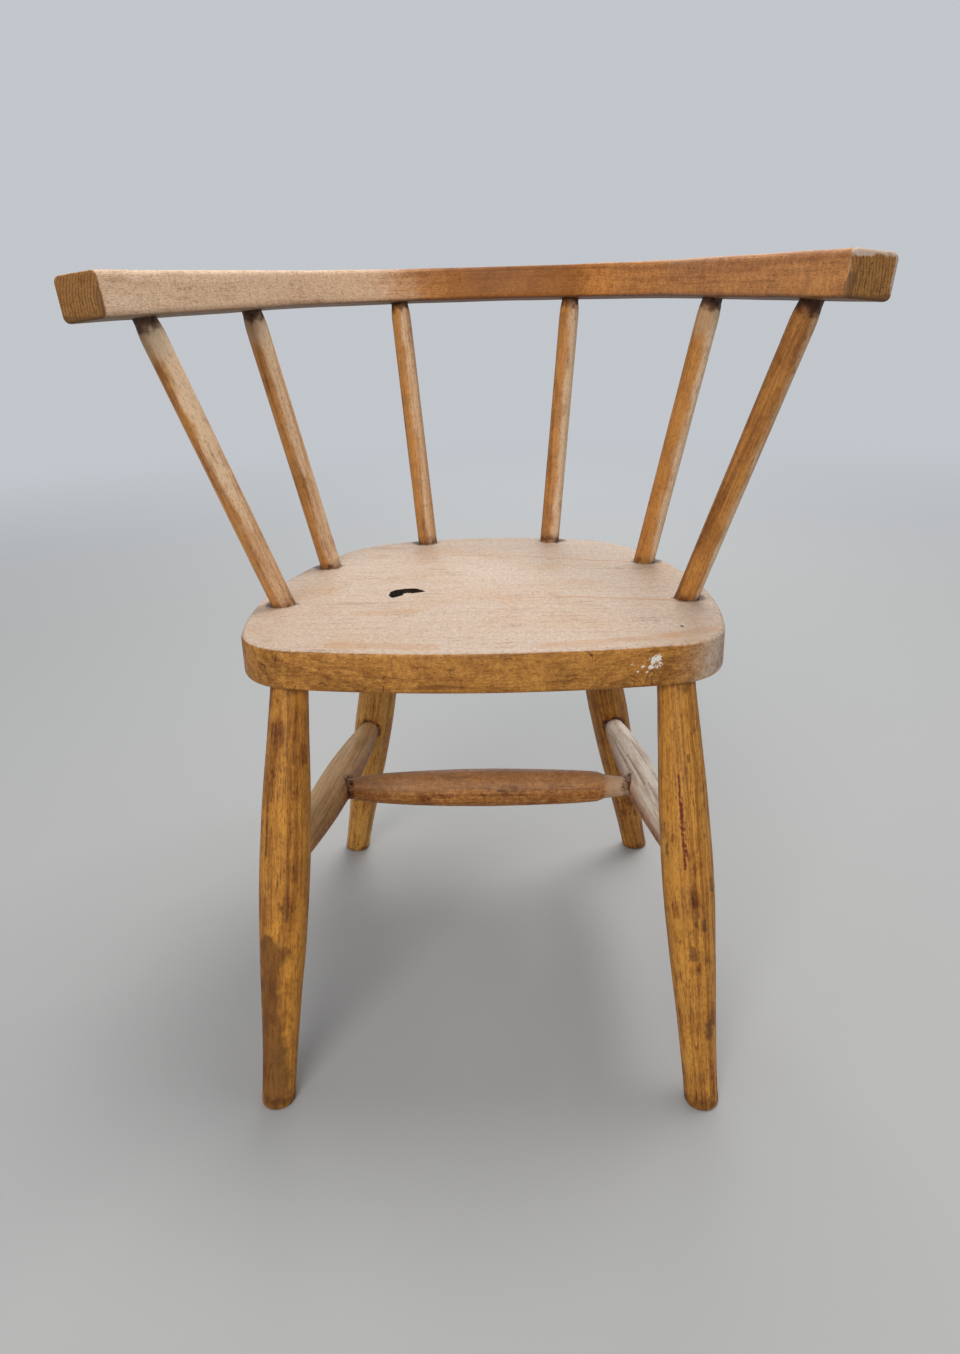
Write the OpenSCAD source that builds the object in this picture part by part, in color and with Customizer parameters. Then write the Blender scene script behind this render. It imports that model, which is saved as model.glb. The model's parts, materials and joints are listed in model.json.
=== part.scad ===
// Spindle-back child's chair in solid beech.
// X runs to the sitter's left, -Y is the way the sitter faces, Z is up.
// The origin is on the floor, below the middle of the chair's own box.

/* [Seat board] */
// Height of the seat's top face above the floor
seat_h = 300; // [260:1:350]
// Thickness of the board
seat_t = 27; // [24:0.5:32]
// Distance from the origin forward to the front edge
seat_front = 158; // [152:1:162]
// Distance from the origin back to the rear edge
seat_rear = 146; // [144:1:152]
// Radius of the two front corners
front_corner_r = 45; // [36:1:52]
// Distance from the middle line to the centre of a front corner
front_corner_x = 112; // [108:1:116]
// Radius of the two rear corners
rear_corner_r = 72; // [64:1:80]
// Distance from the middle line to the centre of a rear corner
rear_corner_x = 58; // [52:1:62]
// Radius of the long curve of the front edge
front_crown_r = 700; // [600:50:1500]
// Radius of the long curve of each side
side_crown_r = 320; // [300:10:500]
// Radius of the long curve of the rear edge
rear_crown_r = 240; // [220:10:320]
// How far the rounded upper and lower edges step in
seat_edge = 3; // [1:0.5:4]

/* [Legs] */
// Foot of a front leg, to the side of the origin
front_foot_x = 141; // [130:1:150]
// Foot of a front leg, forward of the origin
front_foot_y = 203; // [190:1:210]
// Front leg where it meets the underside of the seat, to the side
front_top_x = 123; // [115:1:126]
// Front leg where it meets the underside of the seat, forward
front_top_y = 130; // [120:1:132]
// Foot of a rear leg, to the side
rear_foot_x = 135; // [125:1:145]
// Foot of a rear leg, backward
rear_foot_y = 123; // [110:1:135]
// Rear leg where it meets the underside of the seat, to the side
rear_top_x = 80; // [74:1:86]
// Rear leg where it meets the underside of the seat, backward
rear_top_y = 66; // [60:1:72]
// Diameter of a leg at the floor
leg_foot_d = 22; // [20:0.5:25]
// Diameter of a leg at its swelling
leg_swell_d = 33; // [30:0.5:36]
// Diameter of a leg where it enters the seat
leg_top_d = 24; // [22:0.5:26]
// Distance along the leg from the floor to the swelling
leg_swell_at = 158; // [140:1:175]

/* [Stretchers] */
// Height of the side stretcher's front joint
stretcher_front_h = 153; // [145:1:165]
// Height of the side stretcher's rear joint
stretcher_rear_h = 145; // [135:1:155]
// Place of the cross stretcher along the side ones, as a share of the way from front to rear
cross_at = 0.47; // [0.4:0.01:0.6]
// Diameter of a stretcher's ends, which are its tenons
stretcher_end_d = 16; // [14:0.5:18]
// Diameter of a side stretcher at its middle
side_mid_d = 27.5; // [24:0.5:30]
// Diameter of the cross stretcher at its middle
cross_mid_d = 28.5; // [24:0.5:30]

/* [Spindles] */
// Diameter of every spindle
spindle_d = 16; // [14:0.5:18]
// Diameter of its upper end, which fits the rail
spindle_top_d = 14; // [12:0.5:16]
// Length over which the upper end narrows, below the rail
spindle_taper = 12; // [4:1:30]

/* [Back rail] */
// Height of the rail's underside above the floor, level with the origin
rail_h = 494; // [480:1:510]
// Depth of the rail's section, inside to outside
rail_depth = 29; // [26:0.5:31]
// Height of the rail's section
rail_height = 25.5; // [24:0.5:30]
// Radius along the rail's long edges
rail_edge_r = 4; // [1:0.5:6]
// Radius of the curved back, measured to the middle of the section
rail_r = 161; // [158:0.5:165]
// Centre of the curved back, backward of the origin
rail_centre_y = 37; // [34:0.5:40]
// Length of each straight arm
rail_arm = 227; // [215:1:240]
// Angle at which each arm opens outward
rail_flare = 15; // [13:0.5:16]
// Angle at which the section leans outward
rail_lean = 6.5; // [0:0.5:9]
// Angle at which the whole rail rises to the rear
rail_rise = 0.7; // [0:0.1:1.5]

/* [Joints] */
// Depth of the leg sockets in the seat
leg_socket = 17; // [12:0.5:18]
// Depth of the spindle sockets in the seat
spindle_socket = 16; // [10:0.5:17]
// Depth of the spindle sockets in the rail
rail_socket = 15; // [10:0.5:16]
// Gap left between a stretcher's tenon and the middle of the leg it enters
tenon_stop = 3; // [2:0.5:5]
// Glue gap all round a tenon
glue_gap = 0.1; // [0.05:0.05:0.2]

/* [Hidden] */
$fn = 64;
LEFT = 1;
RIGHT = -1;
seat_under = seat_h - seat_t;
tan_wood = "#c99660";
worn_wood = "#d9ad80";
pale_wood = "#e3c4a4";
// Space left below the bottom of a blind socket, and how far its bore starts outside its mouth
socket_end_gap = 0.5;
bore_lead = 8;

// Where the three spindles of one side stand on the seat: inner, middle, outer
spindle_base = [[53, 129], [125, 52.5], [141.5, -50]];
// Where they meet the rail: an angle on the curved back, then lengths along the arm
inner_at = 63.2;
middle_at = 39;
outer_at = 171;

// A point mirrored to one side of the chair
function on_side(side, p) = [side * p[0], p[1], p[2]];
// The point at height z on the line from a to b
function at_height(a, b, z) = a + (b - a) * (z - a[2]) / (b[2] - a[2]);

// Leg axis ends, for the left side
front_foot = [front_foot_x, -front_foot_y, 0];
front_top = [front_top_x, -front_top_y, seat_under];
rear_foot = [rear_foot_x, rear_foot_y, 0];
rear_top = [rear_top_x, rear_top_y, seat_under];
// Side stretcher axis ends, on the axes of the legs
side_front = at_height(front_foot, front_top, stretcher_front_h);
side_rear = at_height(rear_foot, rear_top, stretcher_rear_h);
side_middle = side_front + cross_at * (side_rear - side_front);

// Points of the rail's middle line, in plan
arc_end = [rail_r * cos(rail_flare), rail_centre_y + rail_r * sin(rail_flare)];
arm_way = [sin(rail_flare), -cos(rail_flare)];
function on_rail(p) = [p[0], p[1], rail_h + p[1] * tan(rail_rise)];
spindle_top = [
    on_rail([rail_r * cos(inner_at), rail_centre_y + rail_r * sin(inner_at)]),
    on_rail(arc_end + middle_at * arm_way),
    on_rail(arc_end + outer_at * arm_way)];
function base_point(i) = [spindle_base[i][0], spindle_base[i][1], seat_h];

// A swelling outline: from end_r through mid_r with a fuller or leaner curve as power falls or rises
function swell(t, end_r, mid_r, power) = end_r + (mid_r - end_r) * pow(cos(90 * t), power);

// Puts children that stand along Z onto the line from a towards b
module along(a, b) {
    d = b - a;
    translate(a) rotate([0, acos(d[2] / norm(d)), atan2(d[1], d[0])]) children();
}

// A socket bored from just outside its mouth, going deep in the direction of b
module socket(mouth, b, d, deep) {
    along(mouth, b) rotate(90) translate([0, 0, -bore_lead])
        cylinder(h = bore_lead + deep, d = d + 2 * glue_gap);
}

// The board's outline, for one half, is five arcs that run into each other without a corner:
// front crown, front corner, side crown, rear corner and rear crown. An inset makes them all smaller.
function polar(c, r, a) = [c[0] + r * cos(a), c[1] + r * sin(a)];
function direction(from, to) = atan2(to[1] - from[1], to[0] - from[0]);
// The point at distance ra from a and rb from b, on the left of the way from a to b
function meeting(a, b, ra, rb) =
    let (d = norm(b - a), u = (b - a) / d,
         x = (d * d + ra * ra - rb * rb) / (2 * d), y = sqrt(ra * ra - x * x))
    a + x * u + y * [-u[1], u[0]];
function arc(c, r, from, to, steps) = [for (i = [0:steps - 1]) polar(c, r, from + (to - from) * i / steps)];

front_centre = [0, front_crown_r - seat_front];
rear_centre = [0, seat_rear - rear_crown_r];
front_turn = asin(front_corner_x / (front_crown_r - front_corner_r)) - 90;
rear_turn = 90 - asin(rear_corner_x / (rear_crown_r - rear_corner_r));
front_corner = polar(front_centre, front_crown_r - front_corner_r, front_turn);
rear_corner = polar(rear_centre, rear_crown_r - rear_corner_r, rear_turn);
side_centre = meeting(front_corner, rear_corner, side_crown_r - front_corner_r, side_crown_r - rear_corner_r);
side_from = direction(side_centre, front_corner);
side_to = direction(side_centre, rear_corner);

function half_outline(inset) = concat(
    arc(front_centre, front_crown_r - inset, -90, front_turn, 5),
    arc(front_corner, front_corner_r - inset, front_turn, side_from, 10),
    arc(side_centre, side_crown_r - inset, side_from, side_to, 7),
    arc(rear_corner, rear_corner_r - inset, side_to, rear_turn, 9),
    arc(rear_centre, rear_crown_r - inset, rear_turn, 90, 5),
    [polar(rear_centre, rear_crown_r - inset, 90)]);

function whole_outline(inset) =
    let (half = half_outline(inset))
    concat(half, [for (i = [len(half) - 2:-1:1]) [-half[i][0], half[i][1]]]);

// The board is a stack of outlines, from the underside up. The lowest and highest three step in
// along a quarter circle, which rounds its long edges.
module board() {
    turns = [0, 45, 90];
    rims = concat(
        [for (a = turns) [seat_under + seat_edge * (1 - cos(a)), seat_edge * (1 - sin(a))]],
        [for (a = turns) [seat_h - seat_edge * (1 - sin(a)), seat_edge * (1 - cos(a))]]);
    count = len(whole_outline(0));
    last = (len(rims) - 1) * count;
    points = [for (rim = rims, p = whole_outline(rim[1])) [p[0], p[1], rim[0]]];
    walls = [for (k = [0:len(rims) - 2], i = [0:count - 1])
        let (j = (i + 1) % count) [k * count + i, (k + 1) * count + i, (k + 1) * count + j, k * count + j]];
    polyhedron(points, concat(
        [[for (i = [0:count - 1]) i]],
        walls,
        [[for (i = [count - 1:-1:0]) last + i]]));
}

module seat() color(pale_wood) difference() {
    board();
    for (side = [LEFT, RIGHT]) {
        socket(on_side(side, front_top), on_side(side, 2 * front_top - front_foot), leg_top_d, leg_socket);
        socket(on_side(side, rear_top), on_side(side, 2 * rear_top - rear_foot), leg_top_d, leg_socket);
        for (i = [0:2])
            socket(on_side(side, base_point(i)), on_side(side, 2 * base_point(i) - spindle_top[i]),
                   spindle_d, spindle_socket);
    }
}

// Rail section, standing on the middle of its underside and leaning outward, or a little smaller
module rail_section(smaller = 0) {
    r = rail_edge_r;
    x = rail_depth / 2 - r;
    low = r;
    high = rail_height - r;
    edge = r - smaller;
    rotate(-rail_lean) {
        translate([-x, low - edge]) square([2 * x, high - low + 2 * edge]);
        translate([-x - edge, low]) square([2 * (x + edge), high - low]);
        for (cx = [-x, x], cy = [low, high]) translate([cx, cy]) circle(edge);
    }
}

// The curved back and the two arms are one piece of wood. The arms run a little way into the
// curve, and are a hair smaller all round so that their faces don't graze its faces.
arm_overlap = 2;
arm_smaller = 0.1;

module rail_body() {
    translate([0, rail_centre_y, 0]) rotate([0, 0, rail_flare])
        rotate_extrude(angle = 180 - 2 * rail_flare, $fn = 180)
            translate([rail_r, 0]) rail_section();
    for (side = [0, 1]) mirror([side, 0, 0])
        translate([arc_end[0], arc_end[1], 0]) rotate([0, 0, rail_flare]) rotate([90, 0, 0])
            translate([0, 0, -arm_overlap])
                linear_extrude(rail_arm + arm_overlap) rail_section(arm_smaller);
}

module back_rail() color(tan_wood) difference() {
    translate([0, 0, rail_h]) rotate([rail_rise, 0, 0]) rail_body();
    for (side = [LEFT, RIGHT], i = [0:2])
        socket(on_side(side, spindle_top[i]), on_side(side, 2 * spindle_top[i] - base_point(i)),
               spindle_top_d, rail_socket);
}

// One turned leg, cut flat at the floor, with the rim of its foot taken off. It is turned a little
// longer than it stands, because the splay makes the cut slanting.
leg_steps = 14;
low_power = 2;
high_power = 1.3;
below_floor = 10;
cut_size = 80;
end_chamfer = 1;

module leg_turning(length) {
    foot_r = leg_foot_d / 2;
    top_r = leg_top_d / 2;
    end = length + leg_socket - socket_end_gap;
    low = [for (i = [leg_steps:-1:1]) [swell(i / leg_steps, foot_r, leg_swell_d / 2, low_power),
                                       leg_swell_at * (1 - i / leg_steps)]];
    high = [for (i = [0:leg_steps]) [swell(i / leg_steps, top_r, leg_swell_d / 2, high_power),
                                     leg_swell_at + (length - leg_swell_at) * i / leg_steps]];
    rotate_extrude() polygon(concat(
        [[0, -below_floor], [foot_r, -below_floor]], low, high,
        [[top_r, end - end_chamfer], [top_r - end_chamfer, end], [0, end]]));
}

// What the rim of a foot loses: a cone from inside the foot, up and out. The slanting cut is a
// little wider than the foot's diameter.
foot_rim = 3;
slant_allowance = 0.4;

module foot_trim() {
    base_r = leg_foot_d / 2 + slant_allowance - foot_rim;
    rim_r = base_r + 3 * foot_rim;
    rotate_extrude() polygon([[base_r, 0], [rim_r, 3 * foot_rim], [rim_r, 0]]);
}

// The bore for a stretcher's end, along Z from near the middle of the piece that it enters
module tenon_bore() {
    translate([0, 0, tenon_stop - socket_end_gap])
        cylinder(h = cut_size / 2, d = stretcher_end_d + 2 * glue_gap);
}

module leg(side, foot, top, stretcher_from, stretcher_to) {
    difference() {
        along(on_side(side, foot), on_side(side, top)) leg_turning(norm(top - foot));
        translate([side * foot[0] - cut_size / 2, foot[1] - cut_size / 2, -cut_size]) cube(cut_size);
        translate([side * foot[0], foot[1], 0]) foot_trim();
        along(on_side(side, stretcher_from), on_side(side, stretcher_to))
            tenon_bore();
    }
}

module front_leg(side) color(tan_wood) leg(side, front_foot, front_top, side_front, side_rear);
module rear_leg(side) color(tan_wood) leg(side, rear_foot, rear_top, side_rear, side_front);
module leg_front_left() front_leg(LEFT);
module leg_front_right() front_leg(RIGHT);
module leg_rear_left() rear_leg(LEFT);
module leg_rear_right() rear_leg(RIGHT);

// A turned stretcher between two stops: plain tenons, then a swelling in the middle
stretcher_steps = 12;
side_tenon = 16;
cross_tenon = 13;
side_power = 0.8;
cross_power = 0.55;

module stretcher_turning(length, tenon, mid_d, power) {
    half = length / 2 - tenon;
    end_r = stretcher_end_d / 2;
    swelling = [for (i = [-stretcher_steps:stretcher_steps])
        [swell(abs(i) / stretcher_steps, end_r, mid_d / 2, power), length / 2 + half * i / stretcher_steps]];
    rotate_extrude() polygon(concat(
        [[0, 0], [end_r - end_chamfer, 0], [end_r, end_chamfer]], swelling,
        [[end_r, length - end_chamfer], [end_r - end_chamfer, length], [0, length]]));
}

module stretcher(a, b, tenon, mid_d, power) {
    way = (b - a) / norm(b - a);
    along(a + way * tenon_stop, b)
        stretcher_turning(norm(b - a) - 2 * tenon_stop, tenon, mid_d, power);
}

module side_stretcher(side) color(worn_wood) difference() {
    stretcher(on_side(side, side_front), on_side(side, side_rear), side_tenon, side_mid_d, side_power);
    along(on_side(side, side_middle), on_side(-side, side_middle))
        tenon_bore();
}
module side_stretcher_left() side_stretcher(LEFT);
module side_stretcher_right() side_stretcher(RIGHT);
module cross_stretcher() color(worn_wood)
    stretcher(side_middle, on_side(RIGHT, side_middle), cross_tenon, cross_mid_d, cross_power);

// A spindle is a plain dowel that narrows to a tenon just below the rail. Halfway along the
// narrowing it has lost about a third of the difference.
neck_below_rail = 2;
narrowed_halfway = 0.35;

module spindle_turning(length) {
    full = spindle_d / 2;
    small = spindle_top_d / 2;
    neck = length - rail_socket - neck_below_rail;
    rotate_extrude() polygon([
        [0, 0], [full, 0], [full, neck - spindle_taper],
        [full - (full - small) * narrowed_halfway, neck - spindle_taper / 2],
        [small, neck], [small, length], [0, length]]);
}

module spindle(side, i) color(tan_wood) {
    way = (spindle_top[i] - base_point(i)) / norm(spindle_top[i] - base_point(i));
    low = base_point(i) - way * (spindle_socket - socket_end_gap);
    high = spindle_top[i] + way * (rail_socket - socket_end_gap);
    along(on_side(side, low), on_side(side, high)) spindle_turning(norm(high - low));
}
module spindle_left_inner() spindle(LEFT, 0);
module spindle_left_middle() spindle(LEFT, 1);
module spindle_left_outer() spindle(LEFT, 2);
module spindle_right_inner() spindle(RIGHT, 0);
module spindle_right_middle() spindle(RIGHT, 1);
module spindle_right_outer() spindle(RIGHT, 2);

seat();
back_rail();
leg_front_left();
leg_front_right();
leg_rear_left();
leg_rear_right();
side_stretcher_left();
side_stretcher_right();
cross_stretcher();
spindle_left_outer();
spindle_left_middle();
spindle_left_inner();
spindle_right_inner();
spindle_right_middle();
spindle_right_outer();
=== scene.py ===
# %% [markdown]
# # A spindle-back child's chair in stripped beech
# The chair is fifteen pieces of turned, bent and sawn beech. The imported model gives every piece
# its place and size, and this script gives each one a finer mesh and a worn wood finish.
# It starts by loading that model, and keeps its box so that the two sizes can be compared.

import json
import math

import bmesh
import bpy
from mathutils import Matrix, Vector, noise


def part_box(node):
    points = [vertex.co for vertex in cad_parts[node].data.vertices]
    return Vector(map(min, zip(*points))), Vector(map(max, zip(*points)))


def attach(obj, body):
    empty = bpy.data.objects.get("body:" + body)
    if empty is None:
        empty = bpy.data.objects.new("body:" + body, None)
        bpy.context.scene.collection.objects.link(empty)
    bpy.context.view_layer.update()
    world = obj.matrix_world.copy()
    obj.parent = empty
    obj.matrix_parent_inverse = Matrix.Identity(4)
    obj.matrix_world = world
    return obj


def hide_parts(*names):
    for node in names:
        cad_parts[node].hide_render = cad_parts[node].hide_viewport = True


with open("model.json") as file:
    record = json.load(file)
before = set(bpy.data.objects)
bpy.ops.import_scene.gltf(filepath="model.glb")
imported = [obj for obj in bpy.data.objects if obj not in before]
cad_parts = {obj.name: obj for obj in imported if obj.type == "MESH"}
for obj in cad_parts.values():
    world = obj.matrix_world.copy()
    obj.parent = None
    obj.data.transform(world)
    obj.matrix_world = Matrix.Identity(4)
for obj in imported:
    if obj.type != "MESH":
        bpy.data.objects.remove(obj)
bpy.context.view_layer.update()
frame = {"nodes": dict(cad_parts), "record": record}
MM = 0.001
scene = bpy.context.scene
print("frame loaded:", len(frame["nodes"]), "nodes")

# %% [markdown]
# ## The camera
# The eye is half a metre in front of the chair and level with its back rail, close enough for
# strong perspective. A camera's axes are the columns of its matrix: its right, its up, and the way
# opposite to its view. Building them from three angles is clearer than an Euler rotation here,
# because the small roll is then about the line of sight.

# %% Camera
eye = Vector((0.0216, -0.7135, 0.500))
look_down, roll, turn = (math.radians(a) for a in (21.17, -1.57, -2.2))
SENSOR, FOCAL_SHARE = 36.0, 0.7265

ahead = Vector((math.sin(turn), math.cos(turn), 0))
right = Vector((math.cos(turn), -math.sin(turn), 0))
up = Vector((0, 0, 1))
sight = ahead * math.cos(look_down) - up * math.sin(look_down)
crown = ahead * math.sin(look_down) + up * math.cos(look_down)
cam_right = right * math.cos(roll) + crown * math.sin(roll)
cam_up = crown * math.cos(roll) - right * math.sin(roll)

lens = bpy.data.cameras.new("camera")
lens.sensor_width = SENSOR
lens.lens = SENSOR * FOCAL_SHARE
camera = bpy.data.objects.new("camera", lens)
aim = Matrix((cam_right, cam_up, -sight)).transposed().to_4x4()
camera.matrix_world = Matrix.Translation(eye) @ aim
scene.collection.objects.link(camera)
scene.camera = camera
print("camera lens", round(lens.lens, 2), "mm")

# %% [markdown]
# ## Light and floor
# The room is lit softly by three round lights: a high one over the chair, a large one in front of
# it, and a cool one high on the wall behind. None of them shows. The pale world fills the shadows,
# and Light Path lets it look brighter behind the chair than the light that it gives, so the wall
# is white and the wood isn't washed out. The floor is one wide sheet that fades out a few steps
# away, because a hard line where a plain floor meets a plain wall would draw the eye. The standard
# view keeps a wood's colours as they are set.

# %% Lights
scene.view_settings.view_transform = "Standard"


def soft_light(name, place, target, size, power, tint):
    """A round area light that faces a point"""
    lamp = bpy.data.lights.new(name, "AREA")
    lamp.shape = "DISK"
    lamp.size = size
    lamp.energy = power
    lamp.color = tint
    holder = bpy.data.objects.new(name, lamp)
    way = Vector(target) - Vector(place)
    holder.matrix_world = Matrix.Translation(place) @ way.to_track_quat("-Z", "Y").to_matrix().to_4x4()
    holder.visible_camera = False
    scene.collection.objects.link(holder)


soft_light("ceiling_light", (0.55, 0.7, 2.5), (0, 0, 0.3), 1.2, 34, (1.0, 0.985, 0.96))
soft_light("front_light", (-0.6, -2.4, 1.7), (0, 0, 0.3), 1.6, 40, (1.0, 0.98, 0.945))
soft_light("wall_light", (0.1, 2.6, 1.4), (0, 0, 0.35), 2.0, 24, (0.95, 0.98, 1.0))

# %% World and floor
ROOM_TINT, ROOM_LIGHT, ROOM_SEEN = (0.60, 0.63, 0.67, 1), 0.62, 0.90
FLOOR_TINT, FLOOR_ROUGH = (0.42, 0.42, 0.415, 1), 0.8
FLOOR_RADIUS, FADE_FROM, FADE_TO = 120, 0.6, 3.2

world = bpy.data.worlds.new("room")
scene.world = world
world.use_nodes = True
nodes, links = world.node_tree.nodes, world.node_tree.links
nodes["Background"].inputs["Color"].default_value = ROOM_TINT
seen = nodes.new("ShaderNodeMapRange")
seen.inputs["To Min"].default_value, seen.inputs["To Max"].default_value = ROOM_LIGHT, ROOM_SEEN
links.new(nodes.new("ShaderNodeLightPath").outputs["Is Camera Ray"], seen.inputs["Value"])
links.new(seen.outputs["Result"], nodes["Background"].inputs["Strength"])

bm = bmesh.new()
bmesh.ops.create_circle(bm, cap_ends=True, radius=FLOOR_RADIUS, segments=96)
floor_mesh = bpy.data.meshes.new("floor")
bm.to_mesh(floor_mesh)
bm.free()
floor = bpy.data.objects.new("floor", floor_mesh)
scene.collection.objects.link(floor)
floor_paint = bpy.data.materials.new("floor_paint")
floor_paint.use_nodes = True
nodes, links = floor_paint.node_tree.nodes, floor_paint.node_tree.links
far = nodes.new("ShaderNodeVectorMath")
far.operation = "LENGTH"
links.new(nodes.new("ShaderNodeTexCoord").outputs["Object"], far.inputs[0])
fade = nodes.new("ShaderNodeMapRange")
fade.interpolation_type = "SMOOTHERSTEP"
fade.inputs["From Min"].default_value, fade.inputs["From Max"].default_value = FADE_FROM, FADE_TO
fade.inputs["To Min"].default_value, fade.inputs["To Max"].default_value = 1.0, 0.0
links.new(far.outputs["Value"], fade.inputs["Value"])
shader = nodes["Principled BSDF"]
links.new(fade.outputs["Result"], shader.inputs["Alpha"])
shader.inputs["Base Color"].default_value = FLOOR_TINT
shader.inputs["Roughness"].default_value = FLOOR_ROUGH
floor_mesh.materials.append(floor_paint)

# %% [markdown]
# ## Helpers for meshes
# Each piece is shaped in its own bmesh, then stored as an object at the origin. Each vertex also
# keeps a "grain" place: where that bit of wood was in its plank, with Z along the fibres. The
# finish reads it, so the figure runs along a leg, follows the bent rail, and shows rings on end
# grain.

# %% Mesh helpers
SMOOTH_BELOW = math.radians(32)


def as_object(bm, name):
    """Stores a bmesh as an object at the origin, with its faces pointing outwards"""
    bmesh.ops.recalc_face_normals(bm, faces=bm.faces)
    mesh = bpy.data.meshes.new(name)
    bm.to_mesh(mesh)
    bm.free()
    piece = bpy.data.objects.new(name, mesh)
    scene.collection.objects.link(piece)
    return piece


def add_grain(piece, grain_place):
    """Smooths the shading and writes each vertex's place in its plank"""
    mesh = piece.data
    mesh.polygons.foreach_set("use_smooth", [True] * len(mesh.polygons))
    mesh.set_sharp_from_angle(angle=SMOOTH_BELOW)
    places = mesh.attributes.new("grain", "FLOAT_VECTOR", "POINT")
    for vertex, place in zip(mesh.vertices, places.data):
        place.vector = grain_place(vertex.co)


def verts_in(geom):
    return [g for g in geom if isinstance(g, bmesh.types.BMVert)]


def edges_in(geom):
    return [g for g in geom if isinstance(g, bmesh.types.BMEdge)]


def open_edges(mesh):
    """How many edges aren't shared by exactly two faces: none on a closed skin"""
    bm = bmesh.new()
    bm.from_mesh(mesh)
    count = sum(1 for edge in bm.edges if len(edge.link_faces) != 2)
    bm.free()
    return count


def settle(piece, slot, *finishes):
    """Puts a finished piece in the place of the CAD node of the same name"""
    for number, finish in enumerate(finishes):
        if number < len(piece.data.materials):
            piece.data.materials[number] = finish
        else:
            piece.data.materials.append(finish)
    node = piece.name.removesuffix("_wood")
    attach(piece, "root")
    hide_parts(node)
    low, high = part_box(node)
    corners = [piece.matrix_world @ v.co for v in piece.data.vertices]
    mine = [(min(c[i] for c in corners), max(c[i] for c in corners)) for i in range(3)]
    off = max(max(abs(mine[i][0] - low[i]), abs(mine[i][1] - high[i])) for i in range(3))
    print(piece.name, len(piece.data.polygons), "faces,", open_edges(piece.data), "open edges,",
          round(off / MM, 2), "mm off its CAD box")


def weather(bm, depth, size):
    """Moves each vertex a hair along its normal, as handwork and wear leave a surface"""
    bm.normal_update()
    for vertex in bm.verts:
        vertex.co += vertex.normal * depth * noise.noise(vertex.co / size)


# %% [markdown]
# ## Where the turned pieces run
# A leg, stretcher or spindle is straight, so two points give its place. The CAD mesh holds them:
# the middle of the vertices at each end. The first guess of the direction is the axis that the
# piece runs along most. Each round finds the two ends along the last guess, and looks less deep.

# %% Ends of a turned piece
END_DEPTHS = (8, 2, 0.6, 0.3)


def ends_of(node, foot=None):
    """The middles of the two ends of a straight round CAD node, the lower one first"""
    points = [v.co.copy() for v in frame["nodes"][node].data.vertices]
    low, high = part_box(node)
    longest = max(range(3), key=lambda i: high[i] - low[i])
    way = Vector([1 if i == longest else 0 for i in range(3)])
    for depth in END_DEPTHS:
        along = [p.dot(way) for p in points]
        ends = []
        for limit, sign in ((min(along), 1), (max(along), -1)):
            ring = {tuple(round(c, 6) for c in p) for p, a in zip(points, along)
                    if (a - limit) * sign < depth * MM}
            ends.append(sum((Vector(p) for p in ring), Vector()) / len(ring))
        if foot:
            ends[0] = foot
        way = (ends[1] - ends[0]).normalized()
    return sorted(ends, key=lambda p: p.z)


feet = {m["name"].replace("foot_", "leg_"): Vector(m["pos_m"]) for m in frame["record"]["mounts"]}
SEAT_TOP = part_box("seat")[1][2]
SEAT_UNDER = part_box("seat")[0][2]
axes = {name: ends_of(name, feet.get(name)) for name in frame["nodes"] if name not in ("seat", "back_rail")}
print("seat from", round(SEAT_UNDER, 4), "to", round(SEAT_TOP, 4), "m,", len(axes), "turned pieces")

# %% [markdown]
# ## Turned pieces
# A lathe makes a piece round about its own line, and so does spin: a chain of points is drawn
# once, as pairs of radius and length, and turned a full circle. A chain that starts and ends on
# the line closes itself once its doubled end points are merged. The swelling is a cosine raised to
# a power: under 1 it is full and long, over 1 it is lean.

# %% Lathe helpers
def swell(share, end, middle, power):
    """Radius from the middle of a swelling (share 0) to its end (share 1)"""
    return end + (middle - end) * math.cos(math.pi / 2 * share) ** power


def standing(low, high):
    """The matrix that stands local Z at low, pointing at high"""
    return Matrix.Translation(low) @ (high - low).to_track_quat("Z", "Y").to_matrix().to_4x4()


def lathe(outline, place, around=56):
    """Turns (radius, length) pairs in millimetres, and stands the result in its place"""
    bm = bmesh.new()
    points = [bm.verts.new((radius * MM, 0, length * MM)) for radius, length in outline]
    edges = [bm.edges.new(pair) for pair in zip(points, points[1:])]
    bmesh.ops.spin(bm, geom=points + edges, cent=(0, 0, 0), axis=(0, 0, 1), angle=2 * math.pi,
                   steps=around, use_merge=True)
    bmesh.ops.remove_doubles(bm, verts=bm.verts, dist=0.01 * MM)
    bmesh.ops.recalc_face_normals(bm, faces=bm.faces)
    bmesh.ops.transform(bm, matrix=place, verts=bm.verts)
    return bm


def along_piece(place, shift):
    """Grain place of a straight piece: its own axes, moved to another part of the plank"""
    back = place.inverted()
    return lambda co: back @ co + Vector(shift)


# %% [markdown]
# ## Legs
# Each leg is turned from one square of beech: thin at the floor, thickest a little above its
# middle, and thin again where it enters the seat. It is cut level at the floor
# after turning, so the lathe runs past the floor and bisect_plane cuts it off. The rim of the cut
# is then rounded with a bevel, as a sander leaves it.

# %% Legs
FOOT_R, SWELL_R, TOP_R = 11, 16.5, 12
SWELL_AT, BELOW_FLOOR, FOOT_RIM = 158, 25, 2.2
BELOW_POWER, ABOVE_POWER = 2, 1.3
LEG_RINGS = 26


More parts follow.
